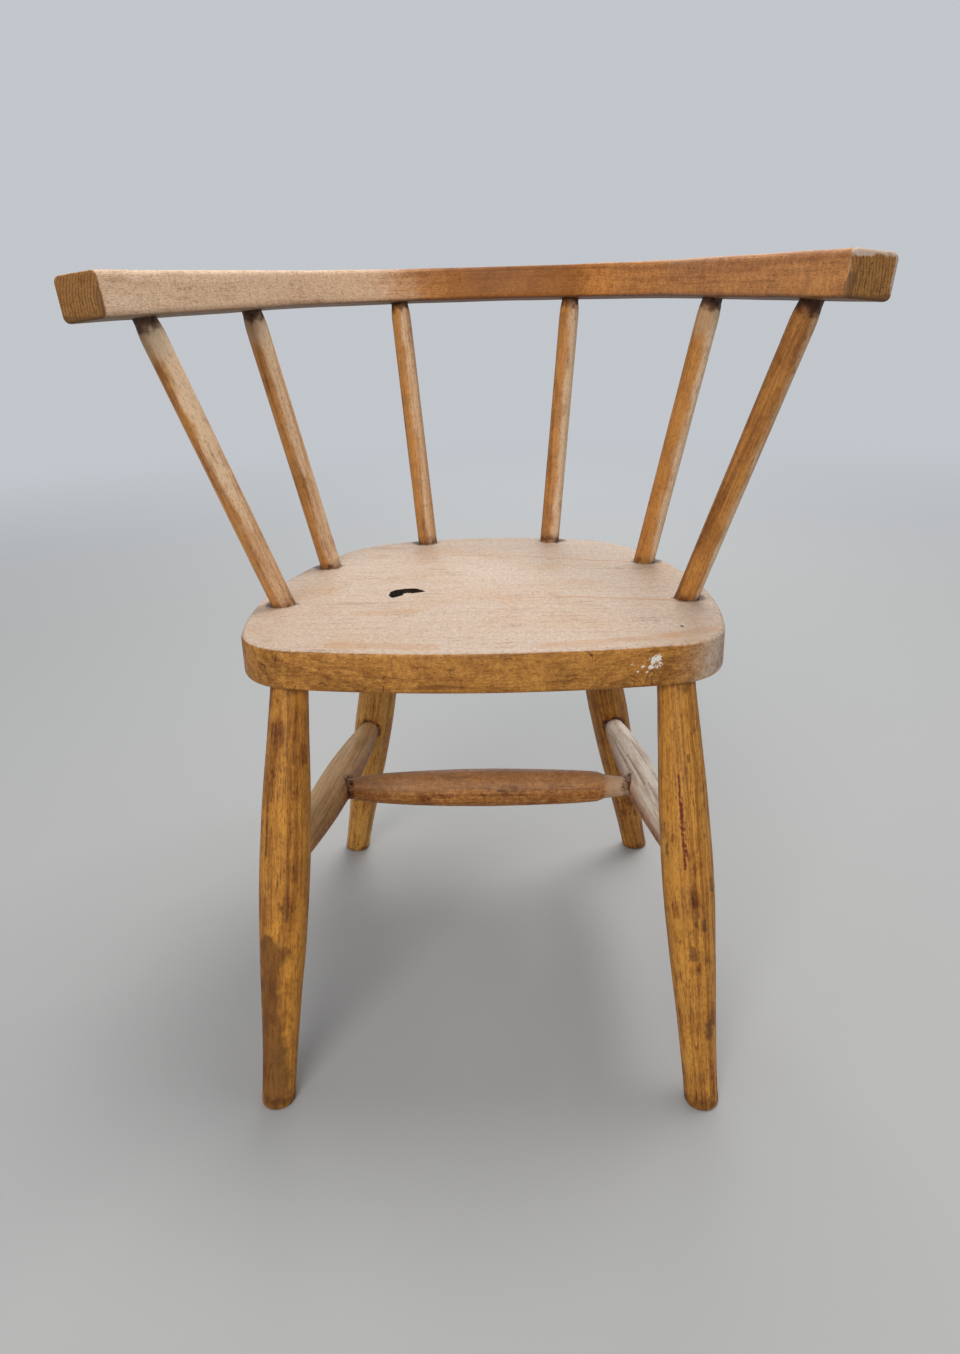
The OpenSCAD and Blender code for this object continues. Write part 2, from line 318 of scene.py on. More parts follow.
def leg_outline(length, in_seat):
    """From below the floor to the round end inside the seat"""
    low = [i / LEG_RINGS for i in range(LEG_RINGS - 2, -1, -1)]
    high = [i / LEG_RINGS for i in range(1, LEG_RINGS + 1)]
    return ([(0, -BELOW_FLOOR), (FOOT_R, -BELOW_FLOOR)]
            + [(swell(t, FOOT_R, SWELL_R, BELOW_POWER), SWELL_AT * (1 - t)) for t in low]
            + [(swell(t, TOP_R, SWELL_R, ABOVE_POWER), SWELL_AT + (length - SWELL_AT) * t) for t in high]
            + [(TOP_R, length + in_seat), (0, length + in_seat)])


def leg_radius(along, length):
    """Radius of a leg at a distance along it, all in millimetres"""
    if along < SWELL_AT:
        return swell(1 - along / SWELL_AT, FOOT_R, SWELL_R, BELOW_POWER)
    return swell((along - SWELL_AT) / (length - SWELL_AT), TOP_R, SWELL_R, ABOVE_POWER)


legs = {}
for number, (name, foot) in enumerate(feet.items()):
    end = axes[name][1]
    whole = (end - foot).length / MM
    in_seat = whole * (end.z - SEAT_UNDER) / end.z
    place = standing(foot, end)
    bm = lathe(leg_outline(whole - in_seat, in_seat), place)
    weather(bm, depth=0.25 * MM, size=0.03)
    bmesh.ops.bisect_plane(bm, geom=bm.verts[:] + bm.edges[:] + bm.faces[:], dist=0.001 * MM,
                           plane_co=(0, 0, 0), plane_no=(0, 0, 1), clear_inner=True)
    rim = [edge for edge in bm.edges if edge.is_boundary]
    bmesh.ops.holes_fill(bm, edges=rim, sides=0)
    bmesh.ops.bevel(bm, geom=rim, offset=FOOT_RIM * MM, offset_type="OFFSET", segments=4,
                    profile=0.5, affect="EDGES", material=-1, clamp_overlap=True)
    legs[name] = as_object(bm, name + "_wood")
    add_grain(legs[name], along_piece(place, (0.05 * number, 0.02 * number, 0.7 * number)))
    print(name, "turned,", round(whole), "mm long")

# %% [markdown]
# ## Stretchers
# The H between the legs is three lighter turnings with plain round ends. Each end goes into a hole
# in a leg, or in a side stretcher, so the piece is longer than what shows. The cross stretcher is
# fuller than the side ones and drops quickly to its ends, which shows as a soft shoulder. At the
# sitter's left it was cut back thinner still, so its outline is lower there.

# %% Stretchers
END_R, NECK_R, SHOULDER = 8, 7.2, 17
STRETCHER_RINGS = 22
turnings = {"side_stretcher_left": (16, 13.75, 0.8), "side_stretcher_right": (16, 13.75, 0.8),
            "cross_stretcher": (13, 14.25, 0.55)}


def stretcher_outline(length, tenon, middle, power, shouldered):
    """Two plain ends with a swelling between them. A shouldered one is cut back before its far end"""
    half = length / 2 - tenon
    steps = range(-STRETCHER_RINGS, STRETCHER_RINGS + 1)
    shares = [math.sin(math.pi / 2 * i / STRETCHER_RINGS) for i in steps]
    swelling = [(swell(abs(s), END_R, middle, power), length / 2 + half * s) for s in shares]
    if shouldered:
        shoulder = length - tenon - SHOULDER
        cut_back = [(NECK_R + 1.9, shoulder + 2.5), (NECK_R + 1.1, shoulder + 8),
                    (NECK_R + 0.3, shoulder + 14)]
        swelling = [(r, z) for r, z in swelling if z < shoulder] + cut_back
    return ([(0, 0), (END_R - 1, 0), (END_R, 1)] + swelling
            + [(NECK_R if shouldered else END_R, length - 1), (END_R - 1.5, length), (0, length)])


stretchers = {}
for number, (name, (tenon, middle, power)) in enumerate(turnings.items()):
    cross = name == "cross_stretcher"
    low, high = sorted(axes[name], key=lambda end: end.x) if cross else axes[name]
    place = standing(low, high)
    length = (high - low).length / MM
    bm = lathe(stretcher_outline(length, tenon, middle, power, shouldered=cross), place)
    weather(bm, depth=0.2 * MM, size=0.025)
    stretchers[name] = as_object(bm, name + "_wood")
    add_grain(stretchers[name], along_piece(place, (0.03, 0.06 * number, 4 + 0.6 * number)))
    print(name, "turned,", round(length), "mm long")

# %% [markdown]
# ## Spindles
# The six spindles are plain dowels. Each stands in a hole in the seat, and its upper end narrows
# to a tenon just below the rail. Their lean is in the two ends that the CAD gives, so one loop
# makes them all.

# %% Spindles
SPINDLE_R, TENON_R = 8, 7
NARROWING, IN_RAIL = 12, 17
DOWEL_RINGS, NECK_RINGS = 14, 8

spindles = {}
for number, name in enumerate(n for n in axes if n.startswith("spindle")):
    low, high = axes[name]
    length = (high - low).length / MM
    neck = length - IN_RAIL
    place = standing(low, high)
    dowel = [(SPINDLE_R, neck * (i + 1) / DOWEL_RINGS - NARROWING) for i in range(DOWEL_RINGS)]
    narrowing = [(swell(i / NECK_RINGS, TENON_R, SPINDLE_R, 0.9), neck - NARROWING * (1 - i / NECK_RINGS))
                 for i in range(1, NECK_RINGS + 1)]
    outline = [(0, 0), (SPINDLE_R, 0)] + dowel + narrowing + [(TENON_R, length), (0, length)]
    bm = lathe(outline, place, around=40)
    weather(bm, depth=0.12 * MM, size=0.02)
    spindles[name] = as_object(bm, name + "_wood")
    add_grain(spindles[name], along_piece(place, (0.04 * number, 0.05, 7 + 0.5 * number)))
print(len(spindles), "spindles turned")

# %% [markdown]
# ## Back rail
# The rail is one heavy length of near-square section, bent to a half round with two straight arms
# that open a little. The section is a square whose corners are rounded with a vertex bevel. Its
# outline is spun round the curved back, and each end is extruded on along its arm in short
# lengths, so that the grain can follow. Last, the ends are filled and their rims rounded.

# %% Back rail
RAIL_DEEP, RAIL_TALL, RAIL_EDGE = 29, 25.5, 4
RAIL_R, RAIL_CENTRE_Y, ARM = 161, 37, 227
FLARE, LEAN, RISE = (math.radians(a) for a in (15, 6.5, 0.7))
RAIL_UNDER = 494 * MM
BEND_STEPS, ARM_STEPS, END_RIM = 72, 24, 2.6
HALF_BEND = (math.pi / 2 - FLARE) * RAIL_R * MM
rail_centre = Vector((0, RAIL_CENTRE_Y, 0)) * MM
tilt = Matrix.Translation((0, 0, RAIL_UNDER)) @ Matrix.Rotation(RISE, 4, "X")


def arm_way(side):
    """The way an arm runs: side is 1 at the sitter's left and -1 at the right"""
    return Vector((side * math.sin(FLARE), -math.cos(FLARE), 0))


def arm_out(side):
    """The way that is outward, square to the arm"""
    way = arm_way(side)
    return Vector((-way.y * side, way.x * side, 0))


def arm_start(side):
    """Where the bend ends and the arm starts, on the rail's middle line"""
    return rail_centre + Vector((side * math.cos(FLARE), math.sin(FLARE), 0)) * RAIL_R * MM


def extend(bm, edges, way, length, times):
    """Carries an open outline on in equal steps, and returns its last edges"""
    for _ in range(times):
        made = bmesh.ops.extrude_edge_only(bm, edges=edges)["geom"]
        points = verts_in(made)
        bmesh.ops.translate(bm, vec=way * length / times, verts=points)
        edges = [edge for edge in edges_in(made) if set(edge.verts) <= set(points)]
    return edges


bm = bmesh.new()
bmesh.ops.create_grid(bm, x_segments=1, y_segments=1, size=0.5)
bmesh.ops.scale(bm, vec=(RAIL_DEEP * MM, RAIL_TALL * MM, 1), verts=bm.verts)
bmesh.ops.bevel(bm, geom=bm.verts[:], offset=RAIL_EDGE * MM, offset_type="OFFSET", segments=6,
                profile=0.5, affect="VERTICES", material=-1)
bmesh.ops.subdivide_edges(bm, edges=[e for e in bm.edges if e.calc_length() > 10 * MM], cuts=4)
bmesh.ops.delete(bm, geom=bm.faces[:], context="FACES_ONLY")
bmesh.ops.translate(bm, vec=(0, RAIL_TALL / 2 * MM, 0), verts=bm.verts)
stand = (Matrix.Translation(rail_centre) @ Matrix.Rotation(FLARE, 4, "Z")
         @ Matrix.Translation((RAIL_R * MM, 0, 0)) @ Matrix.Rotation(math.pi / 2, 4, "X")
         @ Matrix.Rotation(-LEAN, 4, "Z"))
bmesh.ops.transform(bm, matrix=stand, verts=bm.verts)
first = bm.edges[:]
made = bmesh.ops.spin(bm, geom=bm.verts[:] + first, cent=rail_centre, axis=(0, 0, 1),
                      angle=math.pi - 2 * FLARE, steps=BEND_STEPS)
last = edges_in(made["geom_last"])
ends = [extend(bm, edges, arm_way(side), ARM * MM, ARM_STEPS) for edges, side in ((first, 1), (last, -1))]
weather(bm, depth=0.3 * MM, size=0.04)
for outline in ends:
    bmesh.ops.edgeloop_fill(bm, edges=outline)
bmesh.ops.recalc_face_normals(bm, faces=bm.faces)
bmesh.ops.bevel(bm, geom=ends[0] + ends[1], offset=END_RIM * MM, offset_type="OFFSET", segments=4,
                profile=0.5, affect="EDGES", material=-1)
bmesh.ops.transform(bm, matrix=tilt, verts=bm.verts)
rail = as_object(bm, "back_rail_wood")

level = tilt.inverted()


def rail_grain(co):
    """Distance outward, height, and distance along the rail from the middle of the back"""
    flat = level @ co
    around = flat - rail_centre
    turned = math.atan2(around.y, around.x)
    if FLARE <= turned <= math.pi - FLARE:
        out = math.hypot(around.x, around.y) - RAIL_R * MM
        return Vector((out, flat.z, (math.pi / 2 - turned) * RAIL_R * MM))
    side = 1 if flat.x > 0 else -1
    past = flat - arm_start(side)
    return Vector((past.dot(arm_out(side)), flat.z, side * (HALF_BEND + past.dot(arm_way(side)))))


add_grain(rail, rail_grain)
print("rail:", len(rail.data.polygons), "faces")

# %% [markdown]
# ## Seat board
# The board is sawn to a rounded outline. Half of it is five arcs that run into each other without
# a corner. Each arc is one spin of the last point about the arc's own centre, the other half is a
# mirror, and the filled outline is extruded to the board's thickness. Both rims are bevelled. A
# thin inset round each flat face keeps the rim's soft shading off the flat.

# %% Seat board
FRONT, REAR = 158, 146
FRONT_CORNER_R, FRONT_CORNER_X, FRONT_CROWN_R = 45, 112, 700
REAR_CORNER_R, REAR_CORNER_X, REAR_CROWN_R = 72, 58, 240
SIDE_CROWN_R = 320
SEAT_EDGE, FLAT_INSET = 3, 1.5


def polar(centre, radius, angle):
    """The point at that distance from a centre, at an angle in radians"""
    return centre + radius * Vector((math.cos(angle), math.sin(angle)))


def meeting(a, b, from_a, from_b):
    """The point at those distances from a and b, on the left of the way from a to b"""
    gap = (b - a).length
    u = (b - a) / gap
    x = (gap * gap + from_a ** 2 - from_b ** 2) / (2 * gap)
    return a + x * u + math.sqrt(from_a ** 2 - x * x) * Vector((-u.y, u.x))


def bearing(start, end):
    """The angle of the way from one point to another"""
    return math.atan2(end.y - start.y, end.x - start.x)


front_centre = Vector((0, FRONT_CROWN_R - FRONT))
rear_centre = Vector((0, REAR - REAR_CROWN_R))
front_turn = math.asin(FRONT_CORNER_X / (FRONT_CROWN_R - FRONT_CORNER_R)) - math.pi / 2
rear_turn = math.pi / 2 - math.asin(REAR_CORNER_X / (REAR_CROWN_R - REAR_CORNER_R))
front_corner = polar(front_centre, FRONT_CROWN_R - FRONT_CORNER_R, front_turn)
rear_corner = polar(rear_centre, REAR_CROWN_R - REAR_CORNER_R, rear_turn)
side_centre = meeting(front_corner, rear_corner, SIDE_CROWN_R - FRONT_CORNER_R, SIDE_CROWN_R - REAR_CORNER_R)
side_start, side_end = bearing(side_centre, front_corner), bearing(side_centre, rear_corner)
outline = [(front_centre, -math.pi / 2, front_turn, 8), (front_corner, front_turn, side_start, 20),
           (side_centre, side_start, side_end, 18), (rear_corner, side_end, rear_turn, 22),
           (rear_centre, rear_turn, math.pi / 2, 8)]

bm = bmesh.new()
tip = bm.verts.new((0, -FRONT * MM, SEAT_UNDER))
for centre, start, end, steps in outline:
    made = bmesh.ops.spin(bm, geom=[tip], cent=(centre.x * MM, centre.y * MM, SEAT_UNDER), axis=(0, 0, 1),
                          angle=end - start, steps=steps)
    tip = verts_in(made["geom_last"])[0]
bmesh.ops.mirror(bm, geom=bm.verts[:] + bm.edges[:], matrix=Matrix.Identity(4),
                 merge_dist=0.05 * MM, axis="X")
underside = bmesh.ops.contextual_create(bm, geom=bm.edges[:])["faces"]
made = bmesh.ops.extrude_face_region(bm, geom=underside, use_keep_orig=True)["geom"]
bmesh.ops.translate(bm, vec=(0, 0, SEAT_TOP - SEAT_UNDER), verts=verts_in(made))
rims = [e for e in bm.edges if abs(e.verts[0].co.z - e.verts[1].co.z) < 0.1 * MM]
bmesh.ops.recalc_face_normals(bm, faces=bm.faces)
bmesh.ops.bevel(bm, geom=rims, offset=SEAT_EDGE * MM, offset_type="OFFSET", segments=5, profile=0.5,
                affect="EDGES", material=-1)
flats = sorted(bm.faces, key=lambda face: -len(face.verts))[:2]
bmesh.ops.inset_individual(bm, faces=flats, thickness=FLAT_INSET * MM)
print("board:", len(bm.verts), "points,", len(flats), "flat faces")
seat = as_object(bm, "seat_wood")

# %% [markdown]
# ## The gouge and the nick in the seat
# A knot has broken out of the board and left a crescent slot, and there is a small nick near the
# front corner. Both are cut with a boolean, which keeps the flat face clean. The cutter is a small
# ring spun part of a circle, then made uneven along its length, as broken wood is.

# %% Gouge and nick
GOUGE_CENTRE, GOUGE_R = Vector((-0.0556, -0.0290, SEAT_TOP)), 8.4 * MM
GOUGE_FROM, GOUGE_SWEEP, GOUGE_STEPS = math.radians(226), math.radians(-204), 36
GOUGE_DEEPER = 1.6
NICK, NICK_R = Vector((0.1286, -0.1121, SEAT_TOP)), 1.3 * MM


def widths(share):
    """Half the slot's width in millimetres, from its first end (share 0) to its last (share 1)"""
    smooth = 3.9 + 2.0 * math.sin(math.pi * (0.12 + 0.62 * share))
    return smooth + 0.4 * math.sin(19 * share) + 0.25 * math.sin(43 * share)


cutter = bmesh.new()
ring = bmesh.ops.create_circle(cutter, segments=12, radius=1 * MM)["verts"]
bmesh.ops.transform(cutter, matrix=Matrix.Translation(GOUGE_CENTRE) @ Matrix.Rotation(GOUGE_FROM, 4, "Z")
                    @ Matrix.Translation((GOUGE_R, 0, 0)) @ Matrix.Rotation(math.pi / 2, 4, "X"), verts=ring)
bmesh.ops.spin(cutter, geom=cutter.verts[:] + cutter.edges[:], cent=GOUGE_CENTRE, axis=(0, 0, 1),
               angle=GOUGE_SWEEP, steps=GOUGE_STEPS)
bmesh.ops.holes_fill(cutter, edges=[e for e in cutter.edges if e.is_boundary], sides=0)
for vertex in cutter.verts:
    around = vertex.co - GOUGE_CENTRE
    share = ((math.atan2(around.y, around.x) - GOUGE_FROM) % (-2 * math.pi)) / GOUGE_SWEEP
    middle = GOUGE_CENTRE + Vector((around.x, around.y, 0)).normalized() * GOUGE_R
    width = widths(max(0, min(1, share)))
    offset = vertex.co - middle
    vertex.co = middle + Vector((offset.x * width, offset.y * width, offset.z * width * GOUGE_DEEPER))
bmesh.ops.create_icosphere(cutter, subdivisions=2, radius=NICK_R, matrix=Matrix.Translation(NICK))
# The cutter's faces take material 1, the painted shade of the hollows
for face in cutter.faces:
    face.material_index = 1


def cut(piece, cutter):
    """Takes the cutter's shape out of a piece. What it bares keeps the cutter's own material number"""
    tool = as_object(cutter, "cutter")
    for mesh in (piece.data, tool.data):
        mesh.materials.append(None)
        mesh.materials.append(None)
    modifier = piece.modifiers.new("cut", "BOOLEAN")
    modifier.operation, modifier.solver, modifier.object = "DIFFERENCE", "EXACT", tool
    graph = bpy.context.evaluated_depsgraph_get()
    mesh = bpy.data.meshes.new_from_object(piece.evaluated_get(graph))
    piece.modifiers.clear()
    piece.data = mesh
    bpy.data.objects.remove(tool)


cut(seat, cutter)
add_grain(seat, lambda co: Vector((co.y, co.z - SEAT_TOP, co.x)))
print("seat after cutting:", len(seat.data.polygons), "faces")

# %% [markdown]
# ## Helpers for node trees
# A finish is a tree of small nodes. These helpers put a node in a tree and join it up in one call,
# so that the recipes below read like sums. Colours are given as display values from 0 to 255 and
# turned into the linear values that shaders use.

# %% Node helpers
def colour(red, green, blue):
    """A shader colour from display values of 0 to 255"""
    def linear(value):
        share = value / 255
        return share / 12.92 if share <= 0.04045 else ((share + 0.055) / 1.055) ** 2.4
    return (linear(red), linear(green), linear(blue), 1)


def put(tree, kind, ins=(), **settings):
    """Adds a node. An input is a plain value, or the output of another node"""
    node = tree.nodes.new("ShaderNode" + kind)
    for key, value in settings.items():
        setattr(node, key, value)
    for key, value in dict(ins).items():
        if isinstance(value, bpy.types.NodeSocket):
            tree.links.new(value, node.inputs[key])
        else:
            node.inputs[key].default_value = value
    return node


def maths(tree, operation, a, b=0.0, c=0.0, clamp=False):
    return put(tree, "Math", {0: a, 1: b, 2: c}, operation=operation, use_clamp=clamp).outputs[0]


def times(tree, a, b):
    return maths(tree, "MULTIPLY", a, b)


def plus(tree, a, b):
    return maths(tree, "ADD", a, b)


def vectors(tree, operation, a, b=(0, 0, 0)):
    node = put(tree, "VectorMath", {0: a, 1: b}, operation=operation)
    return node.outputs["Value" if operation in ("LENGTH", "DISTANCE", "DOT_PRODUCT") else "Vector"]


def spread(tree, value, start, end, low=0.0, high=1.0):
    """A smooth step: low before start, high after end"""
    return put(tree, "MapRange", {0: value, 1: start, 2: end, 3: low, 4: high},
               interpolation_type="SMOOTHSTEP").outputs[0]


def clouds(tree, place, scale, detail=2.0, rough=0.5):
    """Noise whose scale is so many lumps a metre, the same all ways or as (x, y, z)"""
    if isinstance(scale, tuple):
        place, scale = vectors(tree, "MULTIPLY", place, scale), 1.0
    ins = {"Vector": place, "Scale": scale, "Detail": detail, "Roughness": rough}
    return put(tree, "TexNoise", ins).outputs[0]


def mixed(tree, share, a, b, blend="MIX"):
    """A colour that goes from a to b as share goes from 0 to 1"""
    return put(tree, "Mix", {0: share, 6: a, 7: b}, data_type="RGBA", blend_type=blend).outputs[2]


def dyed(tree, share, skin, tint):
    """A skin that takes on a tint as a thin stain does: its own colour times the tint"""
    return mixed(tree, share, skin, mixed(tree, 1.0, skin, tint, "MULTIPLY"))


def new_group(name, ins, outs):
    """A node group with named sockets: returns its tree, its inputs and its output node"""
    tree = bpy.data.node_groups.new(name, "ShaderNodeTree")
    for label, kind in ins:
        tree.interface.new_socket(label, in_out="INPUT", socket_type="NodeSocket" + kind)
    for label, kind in outs:
        tree.interface.new_socket(label, in_out="OUTPUT", socket_type="NodeSocket" + kind)
    return tree, tree.nodes.new("NodeGroupInput").outputs, tree.nodes.new("NodeGroupOutput")


def use(tree, group, **ins):
    """Places a group in a tree, and returns its outputs"""
    node = tree.nodes.new("ShaderNodeGroup")
    node.node_tree = group
    for label, value in ins.items():
        label = label.replace("_", " ").capitalize()
        if isinstance(value, bpy.types.NodeSocket):
            tree.links.new(value, node.inputs[label])
        else:
            node.inputs[label].default_value = value
    return node.outputs


# %% [markdown]
# ## The figure of beech
# Beech has faint year rings, fine streaks along the fibres, and short dark flecks, which are its
# rays cut across. All three come from the grain place. The rings are shells round the heart of
# the tree, so the distance from the heart gives them, on faces and on end grain alike. Streaks and
# flecks are noise that is stretched along the fibres.

# %% Beech figure
beech_figure, ins, out = new_group(
    "beech_figure", [("Grain", "Vector"), ("Heart", "Vector"), ("Ring", "Float")],
    [("Tone", "Float"), ("Flecks", "Float"), ("Dashes", "Float"), ("Rings", "Float"), ("Relief", "Float")])
t = beech_figure
wander = maths(t, "MULTIPLY_ADD", clouds(t, ins["Grain"], (14, 14, 3.2), 3), 0.011)
across = vectors(t, "MULTIPLY", vectors(t, "SUBTRACT", ins["Grain"], ins["Heart"]), (1, 1, 0.02))
years = maths(t, "DIVIDE", plus(t, vectors(t, "LENGTH", across), wander), ins["Ring"])
broad = put(t, "TexNoise", {"W": years, "Scale": 0.45, "Detail": 2.0}, noise_dimensions="1D").outputs[0]
late = maths(t, "POWER", maths(t, "FRACT", years), 4.0)
streaks = clouds(t, ins["Grain"], (520, 520, 11), 3, 0.62)
threads = clouds(t, ins["Grain"], (2100, 2100, 70), 2)
rays = clouds(t, ins["Grain"], (1500, 1500, 330), 0)
dashes = clouds(t, ins["Grain"], (620, 620, 75), 2, 0.6)
rings = plus(t, times(t, spread(t, broad, 0.3, 0.7), 0.34), times(t, late, 0.2))
fibres = plus(t, times(t, spread(t, streaks, 0.32, 0.7), 0.32), times(t, spread(t, threads, 0.3, 0.7), 0.16))
figures = {"Tone": maths(t, "ADD", rings, fibres, clamp=True), "Flecks": spread(t, rays, 0.60, 0.70),
           "Dashes": spread(t, dashes, 0.60, 0.68), "Rings": late,
           "Relief": maths(t, "SUBTRACT", times(t, threads, 0.5), times(t, rays, 0.8))}
for label, value in figures.items():
    t.links.new(value, out.inputs[label])
print("beech_figure:", len(t.nodes), "nodes")

# %% [markdown]
# ## Old varnish, and marks
# The chair was varnished, worn, then half sanded. Where varnish is left, the wood is honey brown.
# One group gives a blotchy mask from how much is left there. Another gives the strength of a mark
# near a line between two points, with a ragged edge: grime and painted shade at a joint, a smear of
# paint, or a sanded stripe that is partly a painted highlight. With both points the same it marks a spot.

# %% Varnish and mark groups
old_varnish, ins, out = new_group(
    "old_varnish", [("Place", "Vector"), ("Grain", "Vector"), ("Left on", "Float")], [("Mask", "Float")])
t = old_varnish
blotches = times(t, clouds(t, ins["Place"], 38.0, 5, 0.6), 0.55)
stripes = times(t, clouds(t, ins["Grain"], (130, 130, 7), 3, 0.55), 0.45)
thickness = plus(t, plus(t, blotches, stripes), maths(t, "SUBTRACT", ins["Left on"], 0.5))
t.links.new(spread(t, thickness, 0.36, 0.64), out.inputs["Mask"])

mark, ins, out = new_group(
    "mark", [("Place", "Vector"), ("Start", "Vector"), ("End", "Vector"), ("Reach", "Float"),
             ("Ragged", "Float"), ("Lumps", "Float")], [("Strength", "Float")])
t = mark
way = vectors(t, "SUBTRACT", ins["End"], ins["Start"])
here = vectors(t, "SUBTRACT", ins["Place"], ins["Start"])
way_squared = vectors(t, "DOT_PRODUCT", way, way)
share = maths(t, "DIVIDE", vectors(t, "DOT_PRODUCT", here, way), way_squared, clamp=True)
foot_point = put(t, "VectorMath", {0: way, "Scale": share}, operation="SCALE").outputs["Vector"]
gap = vectors(t, "DISTANCE", here, foot_point)
lumps = put(t, "TexNoise", {"Vector": ins["Place"], "Scale": ins["Lumps"], "Detail": 3.0}).outputs[0]
rough_gap = plus(t, gap, times(t, maths(t, "SUBTRACT", lumps, 0.5), ins["Ragged"]))
near = put(t, "MapRange", {0: rough_gap, 1: ins["Reach"], 2: 0.0, 3: 0.0, 4: 1.0}).outputs[0]
t.links.new(near, out.inputs["Strength"])
print("old_varnish:", len(old_varnish.nodes), "nodes, mark:", len(mark.nodes), "nodes")

# %% [markdown]
# ## One recipe for worn beech
# Every piece has the same layers, from the wood up: bare sanded beech, old varnish where it is
# left, dark flecks, a grey worn upper side that is partly a painted highlight, stains, painted shade
# on faces that point down, and grime with painted shade at the joints. The recipe takes the colours
# and amounts of each layer, so that each piece gets its own finish from one function. The first cell
# has its parts: how much varnish is left, the wood's own colour, cracks, and marks.

# %% Layers of worn beech
SOOT_AND_SHADE, WARM_BROWN = colour(30, 20, 13), colour(104, 66, 38)
IN_PORES, OLD_DUST = colour(200, 176, 146), colour(178, 142, 110)


def spot_of(t, place, start, end, reach, ragged, lumps):
    """Strength of one mark: 1 on the line from start to end, and 0 beyond its reach"""
    return use(t, mark, place=place, start=start, end=end, reach=reach, ragged=ragged, lumps=lumps)[0]


def sand_and_light(t, amount, place, sanded_and_lit):
    """Takes varnish away along lines, each with its reach and strength: sanded stripes, partly painted
    highlights as well
    """
    for start, end, reach, strength in sanded_and_lit:
        spot = spot_of(t, place, start, end, reach, reach * 0.6, 60.0)
        amount = maths(t, "SUBTRACT", amount, times(t, spot, strength))
    return amount


def wood_colour(t, place, figure, mask, bare, coat, mottled, figured, warmth):
    """Bare wood where the mask is 0 and varnished wood where it is 1, each from light to dark"""
    tone = spread(t, figure["Tone"], 0.26, 0.72)
    blotch = spread(t, clouds(t, place, 42.0, 6, 0.68), 0.42, 0.66)
    mottle = spread(t, clouds(t, place, 640.0, 3, 0.7), 0.35, 0.7)
    wood = mixed(t, plus(t, times(t, tone, figured), times(t, mottle, 1 - figured)), *bare)
    if warmth:
        patches = spread(t, clouds(t, place, 17.0, 5, 0.65), 0.45, 0.7)
        wood = mixed(t, times(t, patches, warmth), wood, mixed(t, 0.5, bare[1], coat[0]))
    varnished = mixed(t, plus(t, times(t, tone, 0.6), times(t, blotch, 0.4)), *coat)
    varnished = mixed(t, times(t, mottle, mottled), varnished, coat[1])
    return dyed(t, times(t, figure["Flecks"], 0.35), mixed(t, mask, wood, varnished), WARM_BROWN)


def cracks(t, place):
    """A patchy net of fine cracks, as old varnish has"""
    drift = put(t, "TexNoise", {"Vector": place, "Scale": 60.0}).outputs[1]
    bent = put(t, "VectorMath", {0: drift, 1: (0.02,) * 3, 2: place}, operation="MULTIPLY_ADD").outputs[0]
    edge = put(t, "TexVoronoi", {"Vector": bent, "Scale": 48.0}, feature="DISTANCE_TO_EDGE").outputs[0]
    return times(t, spread(t, edge, 0.0, 0.022, 1.0, 0.0), spread(t, clouds(t, place, 70.0, 3), 0.5, 0.62))


def marked(t, skin, place, stains, grime_and_shade):
    """Lays stains on the skin, then grime and painted shade: a brown edge round a near-black middle"""
    for start, end, reach, ragged, lumps, strength, tint in stains:
        spot = spot_of(t, place, start, end, reach, ragged, lumps)
        skin = mixed(t, times(t, spread(t, spot, 0.05, 0.5), strength), skin, tint)
    # Each grime mark is dirt at a joint, and some are also painted shade where one part meets or overhangs
    # another
    for start, end, reach, strength in grime_and_shade:
        spot = spot_of(t, place, start, end, reach, reach * 0.8, 210.0)
        skin = dyed(t, times(t, spread(t, spot, 0.02, 0.35), strength), skin, WARM_BROWN)
        skin = mixed(t, times(t, spread(t, spot, 0.32, 0.62), strength), skin, SOOT_AND_SHADE)
    return skin


